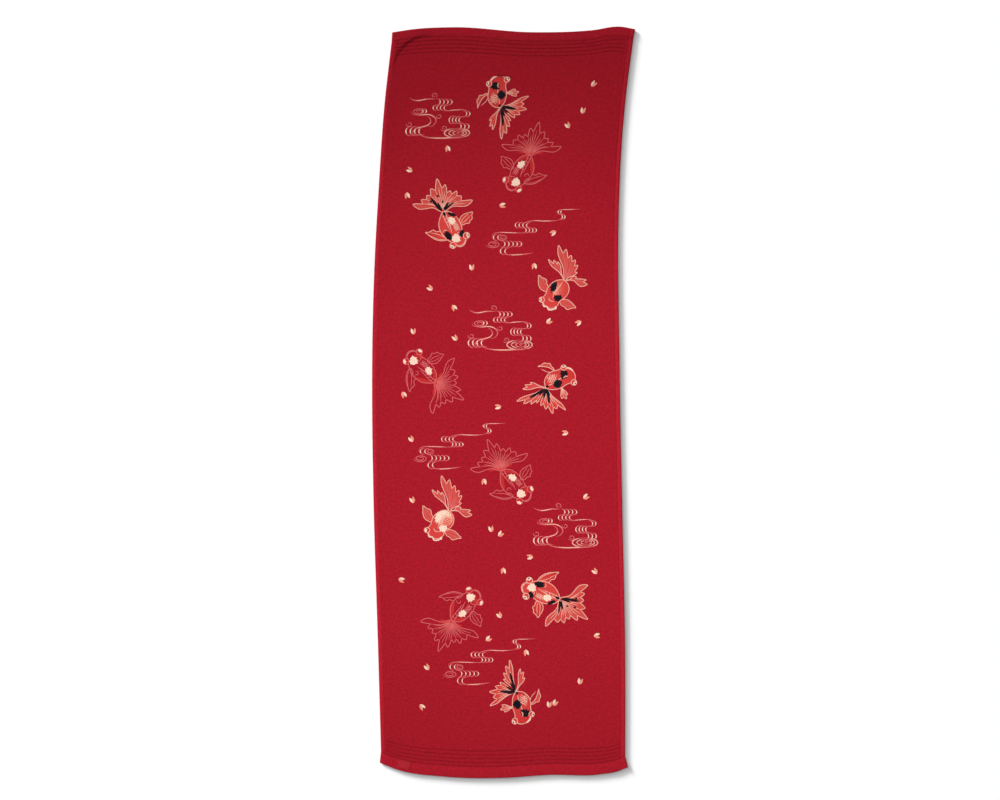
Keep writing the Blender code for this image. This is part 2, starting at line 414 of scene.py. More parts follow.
def slim_fish(painted):
    """A fantail goldfish seen from above, drawn in line only, or painted in coral and navy."""
    art = Drawing()
    edge = PALE if painted else PINK
    fin = (CORAL, DEEP_CORAL, edge, edge) if painted else (None, None, edge, edge)
    tail = [(222, 42), (207, 34), (192, 32), (176, 36), (159, 46),
            (144, 37), (130, 30), (115, 33), (99, 32), (78, 42)]
    outline = fan(0, tail)
    if painted:
        art.fill(outline, CORAL, FIN_PINK, 0, 48)
    else:
        art.fill(fan(0, [(angle, length * 0.42) for angle, length in tail]), CORAL, DEEP_CORAL, 0, 14)
    for points in fan_rays(0, tail):
        art.line(points, RAY_LINE, edge)
    art.ring(outline, EDGE_LINE, edge)
    if painted:
        draw_bars(art, ((188, 26, 3.6), (176, 15, 2.6), (118, 15, 3.2), (100, 20, 2.6)), 6)
        art.blots(NAVY, *((polar(*place), 2.0, 1.4, 3, 4) for place in ((196, 22), (166, 23), (150, 14))))
    draw_leaf(art, 27+10j, 22+33j, fin)
    draw_leaf(art, 35-14j, 10-34j, fin, 0.16, 0.20)
    body = through([0, 5+8j, 12+11j, 20+12j, 29+11j, 36+8.5j, 42+8j, 49+5j, 52-1j,
                    50-7j, 44-10j, 38-13.5j, 30-16j, 21-16.5j, 12-14j, 5-8j], closed=True)
    if painted:
        art.fill(body, CORAL)
    else:
        for rear in ([0, 5+8j, 12+11j, 16+10j, 9+5j], [0, 5-8j, 12-14j, 20-15j, 12-8j]):
            art.fill(through(rear, closed=True), DEEP_CORAL)
        art.fill(through([34+8j, 44+5j, 47-3j, 40+1j], closed=True), DEEP_CORAL)
    art.ring(body, EDGE_LINE, edge)
    art.line([-3+3j, 8+1j, 20-1.5j, 31-5j], 1.2, edge)
    art.line([-1-1j, 8-3j, 17-4j, 25-5j], 0.9, edge)
    for place in (4, 9, 14, 19):
        art.line([place + 0.5j, place + 1.5 - 4j], 0.8, edge)
    scale_net(art, 27+4.5j, 5.5, 3.8, -10, edge)
    art.line([24-15j, 22-11j, 25-8.5j, 27-10.5j], 0.9, edge)
    art.line([38+8j, 35+3j, 36-3j], 0.9, edge)
    if painted:
        art.blots(NAVY, (31-11j, 8.5, 4.6, 5, 5, 8), (39+6j, 5.5, 4.4, 4, 6, -40))
        art.blots(NAVY, (9+8j, 7, 2.6, 4, 7, 35), (3+0j, 3.6, 2.2, 4, 8))
    art.blots(CREAM, (17+4j, 6.4, 5.0, 4, 1, 15), (40-4j, 6.2, 6.6, 4, 2, 30))
    draw_eye(art, 44.5+9.5j, 70, 4.2, edge, painted)
    draw_eye(art, 45.5-12.5j, -60, 4.2, edge, painted)
    art.line([49+7j, 53+1j, 53-4j, 50-9j], 1.1, edge)
    return art


def round_fish(dark):
    """A round-bodied goldfish seen from above, with a long swept tail; dark or cream patches."""
    art = Drawing()
    fin = (CORAL, FIN_PINK, PALE, PINK)
    draw_fan(art, [(134, 17), (120, 29), (108, 31)], 20, fin)
    draw_fan(art, [(228, 27), (236, 31), (246, 36)], 8, fin)
    draw_fan(art, [(219, 48), (206, 42), (194, 35), (181, 31), (167, 27), (150, 20)], 7, fin)
    draw_leaf(art, 24-13j, 10-34j, fin, 0.26, 0.22, 2)
    draw_leaf(art, 27+7j, 25+31j, fin, 0.22, 0.26, 2)
    body = through([0, 2+6.5j, 8+11.5j, 16+12.5j, 23+10j, 28+7.5j, 33+8j, 38+6j, 42+1j,
                    42.5-5j, 40-11j, 34-14.5j, 27-13.5j, 20-15j, 12-13.5j, 5-9.5j, 1-4j],
                   closed=True)
    art.fill(body, CORAL)
    belly_colors = (PEACH, CORAL, 20-8j) if dark else (CREAM, PEACH, 3-6j)
    art.fill(oval(12-1j, 11, 11.5, count=20), *belly_colors, 20)
    scale_net(art, 14+4j, 6.5, 5.5, 15, CORAL)
    art.line([2-1j, 10-2j, 20-4j, 28-3j], 1.1, PALE)
    art.blots(NAVY if dark else CREAM, (14-9j, 9.0, 4.8, 5, 11, 12), (25+3.5j, 5.0, 6.2, 4, 12, 30))
    art.ring(body, EDGE_LINE, PALE)
    art.line([30-8j, 33-4j, 31+1j], 0.9, PALE)
    art.line([40-12j, 43.5-8j, 42-4j, 44.5+0.5j, 40+6.5j, 36+8j], 1.7, CREAM)
    draw_eye(art, 37-14.5j, -60, 3.6, PALE, dark)
    art.fill(oval(38+7j, 2.0, 1.4, 40, 8), CREAM)
    return art


def broad_fish():
    """A broad goldfish seen from above, coral with dark patches, its tail spread in three long lobes."""
    art = Drawing()
    fin = (CORAL, FIN_PINK, PALE, PALE)
    plain_fin = (CORAL, CORAL, PALE, PALE)
    draw_fan(art, [(136, 22), (147, 28), (158, 31)], 6, (CORAL, CORAL, PALE, PINK))
    draw_fan(art, [(179, 43), (190, 37), (202, 30), (214, 24)], 5, fin)
    draw_fan(art, [(228, 25), (243, 29), (258, 36), (271, 32), (285, 40)], 6, plain_fin)
    draw_bars(art, ((186, 26, 3.4), (204, 14, 2.4), (232, 15, 2.6), (256, 22, 3.6), (268, 13, 2.6)), 8)
    draw_leaf(art, 20+13j, 3+30j, fin, -0.14, 0.36, rays=1)
    draw_fan(art, [(282, 16), (268, 20), (250, 18)], 8, plain_fin, 19-6j)
    body = through([0, 2+8j, 9+14j, 17+15.5j, 25+14j, 32+13.5j, 39+9j, 43+2j, 42-5j,
                    37-9.5j, 28-8.5j, 18-9.5j, 8-7j, 2-3j], closed=True)
    art.fill(body, CORAL, ROSE, 20, 24)
    scale_net(art, 13+7j, 6.5, 6, -20, PALE)
    art.line([3+1j, 12+0.5j, 22+2j, 27+4j], 1.2, PALE)
    art.line([6+11j, 12+8j, 17+11j], 0.9, PALE)
    art.blots(NAVY, (30+5.5j, 5.8, 8.0, 5, 21, -30), (17-2.5j, 7.4, 6.0, 5, 22, 10))
    art.blots(NAVY, (2+0.5j, 3.2, 1.8, 3, 23))
    art.line([27+1j, 31+2j, 33+0j], 1.4, PALE)
    art.ring(body, EDGE_LINE, PALE)
    art.line([43+3j, 41+8.5j, 37+12j], 1.7, CREAM)
    draw_eye(art, 33.5+13.5j, 70, 3.6, PALE, True)
    draw_eye(art, 37-10.5j, -60, 3.8, PALE, True)
    return art


def crescents(art, first, step, count, height, bulge, width=1.25):
    """A row of brush arcs side by side, their ends drawn out level. They open to the left where bulge > 0."""
    for number in range(count):
        tall = height * (1 - 0.05 * number)
        half = [-bulge * 1.35 + 0.5j * tall, -bulge * 0.75 + 0.48j * tall, -bulge * 0.20 + 0.30j * tall]
        points = [first + step * number + point for point in (*half, 0j, *np.conj(half[::-1]))]
        art.line(points, width, PINK, (0.12, 0.12), 1.2)
        art.line(points[2:-2], width * 0.9, CREAM, (0.25, 0.25), 0.8)


def swirl(art, centre, across, along, turns, start=0, width=1.0):
    """A flattened spiral, winding inwards."""
    count = max(int(turns * 10), 4)
    angles = math.radians(start) + np.linspace(0, 2 * math.pi * turns, count)
    shrink = np.linspace(1, 0.25, count)
    points = centre + shrink * (np.cos(angles) * across + 1j * np.sin(angles) * along)
    art.line(points, width, PINK, (0.3, 0.3), 1.3)


def current(art, points, width=1.3):
    """A long brush line of the stream, brighter along its middle."""
    art.line(points, width, PINK, (0.15, 0.15))
    line = through(points)
    part = line[int(len(line) * 0.25):int(len(line) * 0.7)]
    art.fill(ribbon(part, width * 0.7, 0.2, 0.2), PALE)


def wide_eddy():
    """Running water that winds down in two wide bends."""
    art = Drawing()
    current(art, [-42+27j, -38+24j, -30+22.5j, -18+24.5j, -6+24.5j], 1.7)
    swirl(art, -9+29j, 4.4, 3.8, 1.2, -60)
    crescents(art, 0+20.5j, 5.3, 4, 8.4, 4.2)
    crescents(art, -9+13j, 4.9, 4, 7.2, -4.0)
    current(art, [4+9.5j, 10+9.0j, 20+10j, 30+10.5j, 36+9.5j, 40+7j], 1.2)
    crescents(art, 37+5.0j, 4.4, 2, 8.0, 4.2, 1.2)
    crescents(art, 14-3.0j, 4.4, 4, 10.5, -5.2)
    crescents(art, 31-12j, 5.2, 3, 9.5, 4.4)
    for shrink, width in ((1.0, 1.3), (0.70, 1.2), (0.42, 1.0)):
        across, along = 17 * shrink, 6.2 * shrink
        centre = 26 - 20.5j + 3 * (1 - shrink)
        for opening in (0, 180):
            turns = np.radians(opening + np.linspace(-80, 80, 9))
            art.line(centre + across * np.cos(turns) + 1j * along * np.sin(turns), width, CREAM, (0.1, 0.1))
        art.ring(oval(centre, across, along, count=24), 0.55, PINK)
    swirl(art, 28-20.5j, 3.2, 1.6, 1.0)
    swirl(art, 8-14j, 4.6, 4.0, 1.3, 200)
    swirl(art, -28+8j, 8.5, 4.0, 1.7, 10, 1.1)
    crescents(art, -22+8.5j, 4.5, 2, 7, 3.4, 1.3)
    for points in (
        [-38+9j, -36+5j, -27+3.5j, -14+4j, -6+0.5j, -3.5-5j, -7-10.5j, -13-12.5j],
        [-17+3j, -12-1j, -10.5-5.5j, -14-10j, -22-12.5j, -30-15j, -34-20j, -28-25j],
    ):
        current(art, points, 1.6)
    swirl(art, 0+2j, 4.2, 3.8, 1.1, 160)
    swirl(art, -39-8.5j, 4.6, 4.0, 1.1, 160)
    crescents(art, -43-18j, 5.8, 4, 12.5, -6.0, 1.6)
    current(art, [-27-22j, -16-26j, 0-27.5j, 18-27j, 34-26j, 43-21.5j], 1.9)
    return art


def long_eddy():
    """Running water that winds down in one long slanting thread."""
    art = Drawing()
    current(art, [64+30j, 50+29.5j, 37+29j, 32+26j, 35+23.5j], 1.0)
    crescents(art, 34+26.0j, 3.4, 2, 6.5, -3.6, 1.2)
    crescents(art, 40+19.5j, 3.6, 2, 7.0, 3.8, 1.4)
    current(art, [37+16j, 30+14.5j, 16+14j, 2+14.5j, -9+12.5j, -14+10j], 1.3)
    crescents(art, -23+8.5j, 5.0, 4, 8.0, -4.4)
    crescents(art, -8+1.5j, 4.6, 4, 7.4, 4.2)
    current(art, [-8-2.0j, -20-2j, -34-1.5j, -46-1.5j, -53-4j, -54-9j], 1.2)
    crescents(art, -52-8.0j, 6.0, 2, 8.5, -4.6)
    swirl(art, -39-8j, 6.0, 4.2, 1.7, 180, 1.1)
    swirl(art, -52-17.5j, 10.0, 4.8, 1.9, 180, 1.1)
    crescents(art, -36-17j, 5.6, 5, 9.0, 4.6)
    crescents(art, -42-26.5j, 6.0, 2, 9.5, -5.0)
    current(art, [-38-30.5j, -28-31.5j, -14-31j, 2-29j], 1.5)
    return art


def petal():
    art = Drawing()
    art.fill(through([0-4.5j, -3.2-1.4j, -2.9+3.4j, -1.0+2.0j, 0.1-1j], 1.2, True), CREAM)
    art.fill(through([0.2-4.5j, 3.2-1.6j, 2.5+3.9j, 0.7+1.8j, -0.4-1j], 1.2, True), PEACH)
    return art


# ---- Where the print goes: (across, along) in millimetres on the cloth


def print_shapes():
    """Every shape of the print, in painter's order."""
    fish = (  # drawing, place, angle in degrees, and whether it is mirrored
        (broad_fish(), -6+397j, 98, False),
        (slim_fish(False), 40+332j, -122, True),
        (slim_fish(True), -74+256j, -56, False),
        (round_fish(True), 92+164j, -118, False),
        (slim_fish(False), -83+27j, 128, True),
        (broad_fish(), 67+20j, 26, False),
        (slim_fish(False), 6-92j, -45, False),
        (round_fish(False), -66-146j, -118, False),
        (slim_fish(False), -66-293j, 44, True),
        (slim_fish(True), 80-264j, 164, False),
        (broad_fish(), 19-389j, -78, False),
    )
    water = (
        (wide_eddy(), -87+383j),
        (long_eddy(), 47+230j),
        (wide_eddy(), 6+98j),
        (long_eddy(), -51-58j),
        (wide_eddy(), 90-168j),
        (long_eddy(), -18-348j),
    )
    petals = (  # across, along, and the direction in degrees that each one opens to
        (117, 428, 45), (106, 393, 80), (87, 373, 120), (-72, 341, -80), (-122, 313, 150),
        (-123, 278, -80), (6, 265, 0), (75, 228, -150), (-33, 182, 90), (51, 183, -90), (-89, 154, 140),
        (-56, 127, -60), (72, 109, 30), (111, 107, -150), (-111, 96, 90), (-55, 87, 120), (-124, 10, -70),
        (2, -6, 180), (92, -41, 180), (-115, -49, 120), (-18, -107, -95), (-115, -131, 110),
        (119, -127, 30), (-10, -170, 95), (3, -177, 40), (41, -208, 180), (128, -227, 130),
        (5, -227, -90), (-132, -239, -20), (-2, -286, 120), (129, -314, 0), (-17, -318, 30),
        (33, -337, -80), (-101, -356, 120), (105, -375, 70), (-108, -410, -50), (63, -406, 80),
        (71, -404, 50),
    )
    shapes = []
    for art, place in water:
        shapes += art.placed(place, 0)
    for art, place, angle, flipped in fish:
        shapes += art.placed(place, angle, flipped)
    one_petal = petal()
    for across, along, opening in petals:
        shapes += one_petal.placed(across + 1j * along, opening - 90)
    return shapes


# ---- The cloth: one closed sheet. Its borders are laid in rows and columns, its middle follows the print.

EDGE_STATIONS = [0.0, 0.16 * MM, 0.6 * MM, 1.2 * MM]  # distances from an edge
SIDE_STATIONS = EDGE_STATIONS + [d * MM for d in (2.8, 4.3, 5.15, 6.0, 6.85, 7.6, 8.5, 10.0)]
FOLD_ROWS = np.arange(-7, 8) * 0.8 * MM
ROW_STEP = 0.0042
MIDDLE_FROM = {"bottom": 0.050, "top": 0.062}  # from each end to the part that follows the print
END_STEP = {"bottom": 0.0040, "top": 0.0024}  # finer at the top, where the corner curls
HEM_STEP = 0.0024
BORDER_HALF = 158  # half width in millimetres of the middle part's border, as it is triangulated
BORDER_BULGE = (4, 2)  # and how far that border bulges, sideways and endways
SPACING = {1: 8.0, 0: 9.0}  # millimetres between the free points of the face (1) and of the back (0)


def smooth_mesh(name, points, faces):
    mesh = bpy.data.meshes.new(name)
    mesh.from_pydata(points, [], faces)
    mesh.polygons.foreach_set("use_smooth", np.ones(len(mesh.polygons), bool))
    return mesh


def store(mesh, name, values):
    """Gives every point of the mesh its number, or its three numbers."""
    kind, field = ("FLOAT_VECTOR", "vector") if values.ndim == 2 else ("FLOAT", "value")
    mesh.attributes.new(name, kind, "POINT").data.foreach_set(field, values.ravel())


def end_stations(end):
    """Distances from an end edge: its rounding, its hem and seam, the ribbed border, then even steps."""
    seam = END_HEM[end]
    stations = EDGE_STATIONS + list(np.arange(0.0035, seam - 0.003, HEM_STEP))
    for number in range(RIB_COUNT + 1):
        groove = seam + number * RIB_PITCH
        half = SEAM_HALF if number == 0 else RIB_HALF
        stations += [groove - half, groove - half / 2, groove, groove + half / 2, groove + half]
        stations.append(groove + (RIB_PITCH + half) / 2)
    step = END_STEP[end]
    stations += list(np.arange(stations[-1] + step, MIDDLE_FROM[end] - step / 2, step))
    return stations + [MIDDLE_FROM[end]]


def all_rows():
    """Every row of the cloth from its bottom to its top, and the two rows that bound its middle part."""
    low = [-HALF_LENGTH + d for d in end_stations("bottom")]
    high = [HALF_LENGTH - d for d in end_stations("top")][::-1]
    reach = FOLD_ROWS[-1]
    lower = np.arange(low[-1], -reach, ROW_STEP)[1:]
    upper = np.arange(high[0], reach, -ROW_STEP)[1:][::-1]
    rows = np.concatenate((low, lower, FOLD_ROWS, upper, high))
    return rows, len(low) - 1, len(rows) - len(high)


def grid_columns(rows):
    """Distances across of every column, for every row: finer at the left, where the corner curls."""
    left = np.arange(-1, -0.50, 0.0150)
    right = np.linspace(left[-1], 1, 60)[1:]
    shares = np.concatenate((left, right))[1:-1]
    hem = half_width(rows)[:, None] - np.array(SIDE_STATIONS)[None, :]
    return np.concatenate((-hem, shares[None, :] * hem[:, -1:], hem[:, ::-1]), axis=1)


def between(values, limits):
    return (values >= limits.min()) & (values <= limits.max())


def inside(points, outline):
    """Which of the points lie inside the outline, by winding number."""
    a, b = outline[None, :], np.roll(outline, -1)[None, :]
    p = points[:, None]
    side = (b.real - a.real) * (p.imag - a.imag) - (p.real - a.real) * (b.imag - a.imag)
    up = (a.imag <= p.imag) & (b.imag > p.imag) & (side > 0)
    down = (a.imag > p.imag) & (b.imag <= p.imag) & (side < 0)
    return up.sum(1) != down.sum(1)


def triangulate(boundary, shapes, spacing):
    """Triangles that fill the boundary and follow every shape. All in millimetres as complex numbers.

    Returns the new points, the triangles, and for every point its place on the boundary or -1."""
    points, edges = [], []

    def add(line, closed):
        count = sum(len(other) for other in points)
        edges.extend((count + k, count + k + 1) for k in range(len(line) - 1))
        if closed:
            edges.append((count + len(line) - 1, count))
        points.append(line)

    def middle_half(along):
        return half_width(np.array(along * MM)) / MM - SIDE_STATIONS[-1] / MM

    low, high = boundary.imag.min(), boundary.imag.max()
    # A boundary that bulges slightly has no three points in line, so its triangles all fall inside it.
    across = boundary.real / middle_half(boundary.imag)
    along = (boundary.imag * 2 - low - high) / (high - low)
    bulged = (low + high) / 2 + along * ((high - low) / 2 + BORDER_BULGE[1] * (1 - across**2))
    add(across * (BORDER_HALF + BORDER_BULGE[0] * (1 - along**2)) + 1j * bulged, True)
    reach = middle_half(0.0) - 1.0
    for row in FOLD_ROWS / MM:
        add(np.linspace(-reach, reach, 50) + 1j * row, False)
    for shape in shapes:
        add(shape[0], True)
    for number, along in enumerate(np.arange(low + spacing, high - spacing / 2, spacing)):
        edge = middle_half(along) - spacing * 0.6
        if abs(along) >= FOLD_ROWS[-1] / MM + spacing * 0.4:
            points.append(np.arange(-edge + (number % 2) * spacing / 2, edge, spacing) + 1j * along)
    joined = np.concatenate(points)
    vectors = [Vector((p.real, p.imag)) for p in joined]
    made, _, triangles, origins, _, _ = delaunay_2d_cdt(vectors, edges, [], 1, 1e-3, True)
    border = np.full(len(made), -1)
    for number, sources in enumerate(origins):
        for source in sources:
            if source < len(boundary):
                border[number] = source
    made = np.array([complex(p.x, p.y) for p in made])
    return made, np.array([t for t in triangles if len(t) == 3]), border


def linear(color):
    """The pigment's own colour, for a colour as it looks in the studio light."""
    value = np.array(color, float) / 255
    return PIGMENT_SHARE * np.where(value <= 0.04045, value / 12.92, ((value + 0.055) / 1.055) ** 2.4)


def paint(corners, shapes):
    """Colour and cover (r, g, b, 1) of each corner of each triangle, or zeros where nothing is printed."""
    centres = corners.mean(1)
    owner = np.full(len(corners), -1)
    for number, (outline, *_) in enumerate(shapes):
        near = np.flatnonzero(between(centres.real, outline.real) & between(centres.imag, outline.imag))
        if len(near):
            owner[near[inside(centres[near], outline)]] = number
    colors = np.zeros((*corners.shape, 4))
    printed = np.flatnonzero(owner >= 0)
    _, close, far, origin, reach = zip(*(shapes[number] for number in owner[printed]))
    close, far, origin, reach = linear(close), linear(far), np.array(origin), np.array(reach)
    part = smoothstep(abs(corners[printed] - origin[:, None]) / reach[:, None])[..., None]
    colors[printed, :, :3] = close[:, None, :] * (1 - part) + far[:, None, :] * part
    colors[printed, :, 3] = 1.0
    return colors


def make_cloth():
    """The cloth's mesh, with its print, and with its place in the weave at every point."""
    rows, first, last = all_rows()
    across = grid_columns(rows)
    along = np.repeat(rows[:, None], across.shape[1], axis=1)
    row_count, column_count = across.shape
    hem = len(SIDE_STATIONS)
    r, c = np.indices(across.shape)
    on_grid = (r <= first) | (r >= last) | (c < hem) | (c >= column_count - hem)
    on_edge = (r == 0) | (r == row_count - 1) | (c == 0) | (c == column_count - 1)
    cells = on_grid[:-1, :-1] & on_grid[1:, 1:] & on_grid[1:, :-1] & on_grid[:-1, 1:]
    middle_rows = (r[:-1, :-1] >= first) & (r[:-1, :-1] < last)
    cells &= ~(middle_rows & (c[:-1, :-1] >= hem - 1) & (c[:-1, :-1] < column_count - hem))

    loop = [(first, k) for k in range(hem - 1, column_count - hem)]
    loop += [(k, column_count - hem) for k in range(first, last)]
    loop += [(last, k) for k in range(column_count - hem, hem - 1, -1)]
    loop += [(k, hem - 1) for k in range(last, first, -1)]
    loop_rows, loop_columns = np.array(loop).T
    boundary = (across + 1j * along)[loop_rows, loop_columns] / MM

    places, sides, quads, triangles, colors = [], [], [], [], []
    count = 0
    ids = np.full(across.shape, -1)
    for side in (1, 0):  # the face, then the back, which shares its edge
        new = on_grid if side else on_grid & ~on_edge
        ids[new] = count + np.arange(new.sum())
        places.append(across[new] + 1j * along[new])
        count += new.sum()
        found = np.stack((ids[:-1, :-1], ids[:-1, 1:], ids[1:, 1:], ids[1:, :-1]), -1)[cells]
        quads.append(found if side else found[:, ::-1])

        shapes = print_shapes() if side else []
        made, faces, border = triangulate(boundary, shapes, SPACING[side])
        new_ids = np.where(border >= 0, ids[loop_rows[border], loop_columns[border]], -1)
        fresh = border < 0
        new_ids[fresh] = count + np.arange(fresh.sum())
        places.append(made[fresh] * MM)
        count += fresh.sum()
        corners = made[faces]
        turned = ((corners[:, 1] - corners[:, 0]) * np.conj(corners[:, 2] - corners[:, 0])).imag > 0
        faces[turned] = faces[turned][:, ::-1]
        colors.append(paint(made[faces], shapes) if side else np.zeros((*faces.shape, 4)))
        faces = new_ids[faces]
        triangles.append(faces if side else faces[:, ::-1])
        sides.append(np.full(count - sum(len(s) for s in sides), side))

    place = np.concatenate(places)
    side = np.concatenate(sides)
    x, y = plan(place.real, place.imag)
    low, high = heights(place.real, place.imag)
    points = np.stack((x, y, np.where(side == 1, high, low)), -1)
    quads, triangles = np.concatenate(quads), np.concatenate(triangles)
    mesh = smooth_mesh("cloth", points.tolist(), quads.tolist() + triangles.tolist())
    colors = np.concatenate([np.zeros((quads.size, 4))] + [color.reshape(-1, 4) for color in colors])
    printed = mesh.color_attributes.new("print", "FLOAT_COLOR", "CORNER")
    printed.data.foreach_set("color", colors.ravel())
    # The folded-under hems show the cloth's face on the back. The rest of the back is pile.
    face = np.maximum(side, 1 - smoothstep(past_hem(place.real, place.imag) / FOLD_STEP))
    store(mesh, "weave", np.stack((place.real, place.imag, face), -1))
    # The groove attribute: painted shade in the grooves and end seams, and the lighter hems
    store(mesh, "groove", shading(place.real, place.imag))
    mesh.validate()
    return mesh


# ---- Materials

YARN_PITCH = 0.0031  # between the thicker yarns that draw a fine grid on the cloth
PILE_CELLS = 480  # loops of the back's pile in a metre
DYE_SCALE = 9  # the scales of the noises, from the dye's drift to single yarns
SLUB_SCALE = 120
CREPE_SCALE = 310
STREAK_SCALE = 620
YARN_SCALE = 1700
GRID_SHADE = 0.07  # how much each of them darkens the cloth's colour; GROOVE_SHADE is painted shade in the border's grooves and end seams, partly also their denser weave
CREPE_SHADE = 0.60
STREAK_SHADE = 0.36
GROOVE_SHADE = 0.40
YARN_SHADE = 0.45
PRINT_COVER = 1.15
PRINT_WEAR = 0.17
HEM_RED = (0.441, 0.0113, 0.0242)
GROUND_LIGHT = (0.351, 0.0080, 0.0178)
GROUND_DARK = (0.320, 0.0068, 0.0154)
# GROUND_DEEP is the darkest red of the weave's texture and of the pile, and also the painted shade in the
# border's grooves and end seams
GROUND_DEEP = (0.126, 0.0025, 0.0065)
BACK_RED = (0.300, 0.0080, 0.0160)
THREAD_LIGHT = (0.300, 0.0072, 0.0155)
THREAD_DARK = (0.170, 0.0035, 0.0085)
LABEL_LIGHT = (0.335, 0.0100, 0.0195)
LABEL_DARK = (0.245, 0.0060, 0.0130)
PLY_PITCH = 0.0013  # of a thread's twist
LABEL_WARP = 0.00052
LABEL_WEFT = 0.00045


def material(name, roughness, specular=0.25, sheen=0.0, sheen_color=(1, 1, 1)):
    made = bpy.data.materials.new(name)
    made.use_nodes = True
    shader = made.node_tree.nodes["Principled BSDF"]
    values = {
        "Roughness": roughness, "Specular IOR Level": specular,
        "Sheen Weight": sheen, "Sheen Roughness": 0.5, "Sheen Tint": (*sheen_color, 1),
    }
    for key, value in values.items():
        shader.inputs[key].default_value = value
    return made, Nodes(made.node_tree), shader


class Nodes:
    """Short ways to add and link shader nodes."""

    def __init__(self, tree):
        self.tree = tree

    def link(self, source, target):
        """Links a socket to the target, or sets the target to a plain value."""
        if isinstance(source, bpy.types.NodeSocket):
            self.tree.links.new(source, target)
        else:
            target.default_value = source

    def add(self, kind, *values, **named):
        """A new node, its inputs linked or set in order or by name."""
        node = self.tree.nodes.new("ShaderNode" + kind)
        for key, value in (*enumerate(values), *named.items()):
            self.link(value, node.inputs[key])
        return node

    def math(self, operation, a, b=0.0):
        node = self.add("Math", a, b)
        node.operation = operation
        return node.outputs[0]

    def plus(self, first, *others):
        for other in others:
            first = self.math("ADD", first, other)
        return first

    def times(self, first, *others):
        for other in others:
            first = self.math("MULTIPLY", first, other)
        return first

    def mix(self, amount, a, b):
        node = self.add("Mix", amount)
        node.data_type = "RGBA"
        for value, target in ((a, node.inputs[6]), (b, node.inputs[7])):
            self.link((*value, 1) if isinstance(value, tuple) else value, target)
        return node.outputs[2]

    def attribute(self, name):
        node = self.add("Attribute")
        node.attribute_name = name
        return node

    def split(self, vector):
        return self.add("SeparateXYZ", vector).outputs

    def scaled(self, vector, factors):
        node = self.add("VectorMath", vector, factors)
        node.operation = "MULTIPLY"
        return node.outputs[0]

    def noise(self, vector, scale, detail=2.0):
        return self.add("TexNoise", Vector=vector, Scale=scale, Detail=detail).outputs[0]

    def cells(self, vector, scale):
        return self.add("TexVoronoi", Vector=vector, Scale=scale).outputs["Distance"]

    def wave(self, value, period):
        """A sine from -1 to 1."""
        return self.math("SINE", self.times(value, 2 * math.pi / period))

    def bump(self, height, distance, strength):
        return self.add("Bump", Distance=distance, Strength=strength, Height=height).outputs[0]


def cloth_material():
    made, nodes, shader = material("printed_cotton", 0.95, 0.06, 0.05, (1.0, 0.40, 0.35))
    weave = nodes.attribute("weave").outputs["Vector"]
    across, along, face = nodes.split(weave)
    wander = nodes.times(nodes.noise(weave, 90), 0.004)
    grid = nodes.plus(*(nodes.wave(nodes.plus(way, wander), YARN_PITCH) for way in (across, along)))
    crepe = nodes.noise(weave, CREPE_SCALE)
    slubs = nodes.noise(weave, SLUB_SCALE)
    streaks = nodes.noise(nodes.scaled(weave, (0.18, 1.0, 1.0)), STREAK_SCALE)
    warp = nodes.noise(nodes.scaled(weave, (1.0, 0.12, 1.0)), YARN_SCALE, 1)
    weft = nodes.noise(nodes.scaled(weave, (0.12, 1.0, 1.0)), YARN_SCALE, 1)
    yarns = nodes.math("SUBTRACT", nodes.plus(warp, weft), 1.0)
    front = nodes.plus(crepe, nodes.times(slubs, 0.5), nodes.times(grid, 0.20), nodes.times(yarns, 0.9))

    ground = nodes.mix(nodes.noise(weave, DYE_SCALE, 3), GROUND_DARK, GROUND_LIGHT)
    # The groove attribute: above 0, painted shade in the border's grooves and end seams, partly also the
    # border's denser weave; below 0, a lighter red on the hems
    painted_groove_shade_and_lighter_hems = nodes.attribute("groove").outputs["Fac"]
    ground = nodes.mix(nodes.times(painted_groove_shade_and_lighter_hems, -1.0), ground, HEM_RED)
    shade = nodes.plus(
        nodes.times(grid, slubs, GRID_SHADE),
        nodes.times(crepe, CREPE_SHADE),
        nodes.times(streaks, STREAK_SHADE),
        nodes.times(yarns, YARN_SHADE),
        nodes.times(nodes.math("MAXIMUM", painted_groove_shade_and_lighter_hems, 0.0), GROOVE_SHADE),
    )
    ground = nodes.mix(shade, ground, GROUND_DEEP)
    printed = nodes.attribute("print")
    cover = nodes.math("SUBTRACT", PRINT_COVER, nodes.times(nodes.plus(crepe, slubs), PRINT_WEAR))
    cover = nodes.times(nodes.math("MINIMUM", cover, 1.0), printed.outputs["Alpha"])
    front_color = nodes.mix(cover, ground, printed.outputs["Color"])
    pile = nodes.cells(weave, PILE_CELLS)
    back_color = nodes.mix(nodes.times(pile, 0.55), BACK_RED, GROUND_DEEP)
    nodes.link(nodes.mix(face, back_color, front_color), shader.inputs["Base Color"])
    back = nodes.times(pile, -2.2, nodes.math("SUBTRACT", 1.0, face))
    nodes.link(nodes.bump(nodes.plus(nodes.times(front, face), back), 0.00022, 0.6), shader.inputs["Normal"])
    return made


def thread_material():
    made, nodes, shader = material("sewing_thread", 0.70, 0.10)
    uv = nodes.add("UVMap")
    uv.uv_map = "run"
    along, around, _ = nodes.split(uv.outputs[0])
    ply = nodes.wave(nodes.plus(nodes.times(along, 1 / PLY_PITCH), around), 1.0)
    shade = nodes.plus(nodes.times(ply, 0.35), 0.5)
    nodes.link(nodes.mix(shade, THREAD_DARK, THREAD_LIGHT), shader.inputs["Base Color"])
    nodes.link(nodes.bump(ply, 0.00005, 0.6), shader.inputs["Normal"])
    return made


